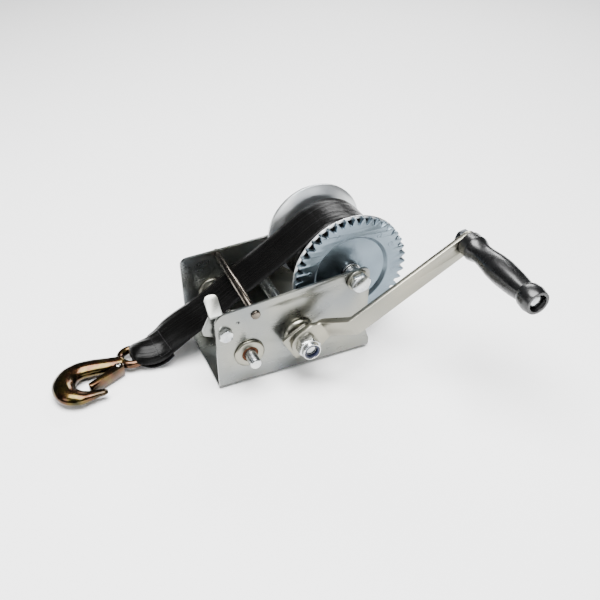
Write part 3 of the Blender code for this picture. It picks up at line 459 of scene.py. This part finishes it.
def tail_stations():
    """Middle line of the tail: (x, y, z, lean in degrees, width, crown)."""
    before = LEAVE - math.radians(14)
    tucked = AXLE + Vector((math.cos(before), math.sin(before))) * (OUTER - 0.0014)
    leave = AXLE + Vector((math.cos(LEAVE), math.sin(LEAVE))) * OUTER
    middle = (leave + UNDER_ROD) / 2
    eye_z = centre("latch_pin").z + 0.0010
    return [(tucked.x, 0.0000, tucked.y, 0, TAIL_WIDTH, 0.0000),
            (leave.x, 0.0000, leave.y, 0, TAIL_WIDTH, 0.0000),
            (middle.x, 0.0010, middle.y, 0, TAIL_WIDTH, 0.0000),
            (UNDER_ROD.x, 0.0050, UNDER_ROD.y, 0, TAIL_WIDTH, 0.0000),
            (-0.0660, 0.0110, 0.0570, 0, TAIL_WIDTH, 0.0004), (-0.0860, 0.0160, 0.0415, 2, 0.0494, 0.0008),
            (-0.1020, 0.0175, 0.0325, 5, 0.0490, 0.0016), (-0.1150, 0.0170, 0.0255, 6, 0.0484, 0.0024),
            (-0.1250, 0.0160, 0.0198, 6, 0.0455, 0.0036), (-0.1350, 0.0150, 0.0170, 6, 0.0420, 0.0050),
            (-0.1460, 0.0160, 0.0158, 3, 0.0370, 0.0048), (-0.1545, 0.0174, 0.0140, 0, 0.0290, 0.0024),
            (-0.1566, 0.0172, eye_z, 0, 0.0170, 0.0004), (-0.1540, 0.0172, 0.0034, 0, 0.0165, -0.0003),
            (-0.1460, 0.0165, 0.0017, 0, 0.0220, -0.0003), (-0.1360, 0.0145, 0.0028, 2, 0.0330, 0.0004),
            (-0.1260, 0.0145, 0.0080, 5, 0.0420, 0.0010), (-0.1180, 0.0155, 0.0140, 7, 0.0460, 0.0018)]


def make_tail_rows():
    """Rows across the tail, square to its middle line, crowned where the loop bulges."""
    stations = tail_stations()
    line = [along_stations(stations, step, TAIL_STEPS) for step in range(TAIL_STEPS + 1)]
    rows = []
    for i, (x, y, z, lean, width, crown) in enumerate(line):
        ahead = Vector(line[min(i + 1, TAIL_STEPS)][:3])
        behind = Vector(line[max(i - 1, 0)][:3])
        tangent = (ahead - behind).normalized()
        across = Vector((0, math.cos(math.radians(lean)), math.sin(math.radians(lean))))
        across = (across - tangent * across.dot(tangent)).normalized()
        normal = across.cross(tangent).normalized()
        points = []
        for j in range(TAIL_COLUMNS + 1):
            share = 2 * j / TAIL_COLUMNS - 1
            lift = crown * (1 - 2 * share * share)
            points.append(Vector((x, y, z)) + across * width / 2 * share + normal * lift)
        rows.append((points, normal))
    return rows


tail_rows = make_tail_rows()
tail = ribbon("strap_tail_webbing", tail_rows, STRAP_THICK, WEBBING)
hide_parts("strap_tail")


# ---- the loop's seams: four rows of thread on the tail's upper face ----
SEAM_START = 0.440       # shares of the tail's length
SEAM_END = 0.510
SEAM_SIDE = 0.86         # share of the tail's half width
STITCHES_A_ROW = 16
STITCH_GAP = 0.14        # share of a stitch's pitch left bare at each end
STITCH_SIDES = 8


def seam_rows():
    """Ends of the stitches as (share of the tail's length, share of its half width), row by row."""
    shares = [i / STITCHES_A_ROW for i in range(STITCHES_A_ROW + 1)]
    lengthways = [[(SEAM_START + (SEAM_END - SEAM_START) * share, side) for share in shares]
                  for side in (-SEAM_SIDE, SEAM_SIDE)]
    crossways = [[(place, -SEAM_SIDE + 2 * SEAM_SIDE * share) for share in shares]
                 for place in (SEAM_START, SEAM_END)]
    return lengthways + crossways


def tail_surface(share, side):
    """Point on the tail's upper face, and its normal."""
    index = share * (len(tail_rows) - 1)
    row = int(index)
    spot = (side + 1) * TAIL_COLUMNS / 2
    column = int(spot)
    near, far = [points[column].lerp(points[column + 1], spot - column)
                 for points, _ in tail_rows[row:row + 2]]
    normal = tail_rows[row][1]
    upward = 1 if normal.z > 0 else -1
    return near.lerp(far, index - row) + normal * STRAP_THICK / 2 * upward, normal


def stitches():
    """Short bars of thread, each a slightly arched oval rod."""
    work = bmesh.new()
    turns = [2 * math.pi * k / STITCH_SIDES for k in range(STITCH_SIDES)]
    for seam in seam_rows():
        for (s0, w0), (s1, w1) in zip(seam, seam[1:]):
            start, normal = tail_surface(s0 + (s1 - s0) * STITCH_GAP, w0 + (w1 - w0) * STITCH_GAP)
            end, _ = tail_surface(s1 - (s1 - s0) * STITCH_GAP, w1 - (w1 - w0) * STITCH_GAP)
            along = end - start
            side = along.cross(normal).normalized()
            up = side.cross(along).normalized()
            rings = []
            for i in range(7):
                arch = math.sin(math.pi * i / 6)
                middle = start + along * i / 6 + up * 0.00030 * arch
                radius = 0.00012 + 0.00030 * arch
                rings.append([work.verts.new(middle + (side * math.cos(a) + up * 0.8 * math.sin(a)) * radius)
                              for a in turns])
            for a, b in zip(rings, rings[1:]):
                for k in range(STITCH_SIDES):
                    after = (k + 1) % STITCH_SIDES
                    work.faces.new([a[k], a[after], b[after], b[k]]).smooth = True
            work.faces.new(list(reversed(rings[0])))
            work.faces.new(rings[-1])
    return new_piece("strap_stitches", mesh_of(work, "strap_stitches"), THREAD)


thread = stitches()


# ---- hook: forged bar, ring and latch lug fused into one skin ----
RING_CENTRE = Vector((-0.1560, 0.0170, 0))
RING_RADIUS = 0.0125
RING_BAR = 0.0045
HOOK_FLATNESS = 0.70     # height of the bar over its width
HOOK_VOXEL = 0.00055
LUG_SIZE = Vector((0.0080, 0.0120, 0.0064))
LUG_BEHIND_PIN = 0.0040


def hook_bar():
    """The bar from the ring round the bend to the point, as a bmesh about the hook's middle plane."""
    stations = [(-0.1670, 0.0152, 0.0072), (-0.1750, 0.0140, 0.0084), (-0.1880, 0.0146, 0.0100),
                (-0.2010, 0.0162, 0.0108), (-0.2130, 0.0160, 0.0110), (-0.2242, 0.0102, 0.0117),
                (-0.2310, -0.0018, 0.0122), (-0.2292, -0.0156, 0.0114), (-0.2200, -0.0232, 0.0097),
                (-0.2097, -0.0247, 0.0066), (-0.2003, -0.0247, 0.0048), (-0.1908, -0.0253, 0.0038)]
    curve = bpy.data.curves.new("hook_bar", "CURVE")
    curve.dimensions = "3D"
    curve.bevel_depth = 1.0
    curve.bevel_resolution = 8
    curve.use_fill_caps = True
    spline = curve.splines.new("POLY")
    steps = 90
    spline.points.add(steps)
    for step, point in enumerate(spline.points):
        x, y, half_width = along_stations(stations, step, steps)
        point.co = (x, y, 0.0, 1.0)
        point.radius = half_width * (1 if step < steps - 2 else 0.75)
    bar = bpy.data.objects.new("hook_bar", curve)
    bpy.context.scene.collection.objects.link(bar)
    bpy.context.view_layer.update()
    mesh = bpy.data.meshes.new_from_object(bar.evaluated_get(bpy.context.evaluated_depsgraph_get()))
    bpy.data.objects.remove(bar, do_unlink=True)
    work = bmesh.new()
    work.from_mesh(mesh)
    bmesh.ops.remove_doubles(work, verts=work.verts, dist=1e-6)
    for vert in work.verts:
        vert.co.z *= HOOK_FLATNESS
    return work


def add_ring(work):
    """The round-bar ring that the strap's loop holds."""
    around = 64
    tube = 20
    grid = []
    for i in range(around):
        a = 2 * math.pi * i / around
        row = []
        for j in range(tube):
            b = 2 * math.pi * j / tube
            reach = RING_RADIUS + RING_BAR * math.cos(b)
            spot = Vector((reach * math.cos(a), reach * math.sin(a), RING_BAR * math.sin(b)))
            row.append(work.verts.new(RING_CENTRE + spot))
        grid.append(row)
    for row, following in zip(grid, grid[1:] + grid[:1]):
        for j in range(tube):
            k = (j + 1) % tube
            work.faces.new([row[j], following[j], following[k], row[k]])


def fuse(hook):
    """Makes one smooth skin of the hook's overlapping bodies."""
    skin = hook.modifiers.new("one_skin", "REMESH")
    skin.mode = "VOXEL"
    skin.voxel_size = HOOK_VOXEL
    fillet = hook.modifiers.new("forging_fillets", "SMOOTH")
    fillet.factor = 0.5
    fillet.iterations = 14
    bpy.context.view_layer.update()
    evaluated = hook.evaluated_get(bpy.context.evaluated_depsgraph_get())
    fused = bpy.data.meshes.new_from_object(evaluated)
    hook.modifiers.clear()
    hook.data = fused
    for polygon in fused.polygons:
        polygon.use_smooth = True


def forged_hook():
    """The hook, modelled flat about its middle plane and then raised to its height."""
    pin = centre("latch_pin")
    work = hook_bar()
    add_ring(work)
    middle = Vector((pin.x, pin.y + LUG_BEHIND_PIN, 0))
    for vert in bmesh.ops.create_cube(work, size=1.0)["verts"]:
        vert.co = middle + vert.co * LUG_SIZE
    hook = new_piece("forged_hook", mesh_of(work, "forged_hook"), CHROMATE)
    hook.location.z = pin.z
    fuse(hook)
    return hook


hook = forged_hook()
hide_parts("hook")
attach(hook, "hook")
for piece in (tail, thread):
    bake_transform(piece)


# ---- spot welds on the gear's face ----
WELD_REACH = 0.0490
WELD_ANGLES = (167, 110, 51, 29, -10, -75)
# radius and height of each ring round the crater, and the height at its middle
WELD_PROFILE = ((0.0014, 0.00010), (0.0021, 0.00030), (0.0026, 0.00022), (0.0030, -0.00010))
WELD_CRATER = 0.00006
WELD_SIDES = 20


def weld_dimples():
    """Shallow craters left by the welds that join the gear to the near flange."""
    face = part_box("drum_gear")[0].y
    turns = [2 * math.pi * i / WELD_SIDES for i in range(WELD_SIDES)]
    work = bmesh.new()
    for index, degrees in enumerate(WELD_ANGLES):
        angle = math.radians(degrees)
        reach = WELD_REACH + 0.0012 * math.sin(2.3 * index)
        middle = Vector((axle.x + reach * math.cos(angle), face, axle.z + reach * math.sin(angle)))
        top = work.verts.new(middle - Vector((0, WELD_CRATER, 0)))
        rings = []
        for radius, height in WELD_PROFILE:
            spots = [Vector((radius * math.cos(a), -height, radius * math.sin(a))) for a in turns]
            rings.append([work.verts.new(middle + spot) for spot in spots])
        for i in range(WELD_SIDES):
            j = (i + 1) % WELD_SIDES
            work.faces.new([top, rings[0][i], rings[0][j]])
            for inner, outer in zip(rings, rings[1:]):
                work.faces.new([inner[i], outer[i], outer[j], inner[j]])
        work.faces.new(list(reversed(rings[-1])))
    mesh = mesh_of(work, "weld_dimples")
    for polygon in mesh.polygons:
        polygon.use_smooth = len(polygon.vertices) < WELD_SIDES
    return new_piece("weld_dimples", mesh, ZINC_GEAR)


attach(weld_dimples(), "drum")


# ---- floor, light and camera ----
def add_floor():
    """Pale matt paper, just under the base."""
    work = bmesh.new()
    bmesh.ops.create_grid(work, x_segments=1, y_segments=1, size=6.0)
    floor = bpy.data.objects.new("floor", mesh_of(work, "floor"))
    bpy.context.scene.collection.objects.link(floor)
    floor.location.z = -0.0004
    material, tree, place = new_material("pale_paper_floor", Roughness=0.9)
    cloudy = add(tree, "TexNoise", {"Vector": place, "Scale": PER_MM / 900, "Detail": 2.0})
    colour = add(tree, "ValToRGB", {"Fac": cloudy}, stops=((0.0, "f6f6f6"), (1.0, "fafafa")))
    tree.links.new(colour, tree.nodes["Principled BSDF"].inputs["Base Color"])
    floor.data.materials.append(material)


def add_softbox(name, place, aim, size, power):
    """A rectangular area light that the camera doesn't see."""
    light = bpy.data.lights.new(name, "AREA")
    light.shape = "RECTANGLE"
    light.size, light.size_y = size
    light.energy = power
    lamp = bpy.data.objects.new(name, light)
    lamp.location = place
    lamp.rotation_euler = (Vector(aim) - Vector(place)).to_track_quat("-Z", "Y").to_euler()
    lamp.visible_camera = False
    bpy.context.scene.collection.objects.link(lamp)


def add_camera(place, direction, lens_mm):
    """The camera, on a 36 mm sensor."""
    camera = bpy.data.cameras.new("camera")
    camera.lens = lens_mm
    camera.sensor_width = 36.0
    stand = bpy.data.objects.new("camera", camera)
    stand.location = place
    stand.rotation_euler = Vector(direction).to_track_quat("-Z", "Y").to_euler()
    bpy.context.scene.collection.objects.link(stand)
    bpy.context.scene.camera = stand


def add_sky():
    """Dim, slightly blue light from all round, which the metal mirrors."""
    world = bpy.data.worlds.new("studio")
    world.use_nodes = True
    background = world.node_tree.nodes["Background"]
    background.inputs["Color"].default_value = srgb("dfe5ec")
    background.inputs["Strength"].default_value = 0.12
    bpy.context.scene.world = world


add_floor()
add_sky()
add_softbox("top_softbox", (-0.1, -0.1, 1.5), (0, 0, 0), (1.3, 1.0), 105)
add_softbox("back_softbox", (0.85, 1.3, 0.98), (0.07, 0, 0.12), (1.0, 0.30), 20)
add_softbox("front_softbox", (0.05, -1.8, 0.38), (0.05, 0, 0.10), (1.8, 0.55), 23)
add_softbox("left_softbox", (-1.3, -0.4, 0.9), (0, 0, 0.05), (0.5, 0.7), 6)
add_camera((-0.2372, -0.6124, 0.5428), (0.3214, 0.7313, -0.6016), 45.47)
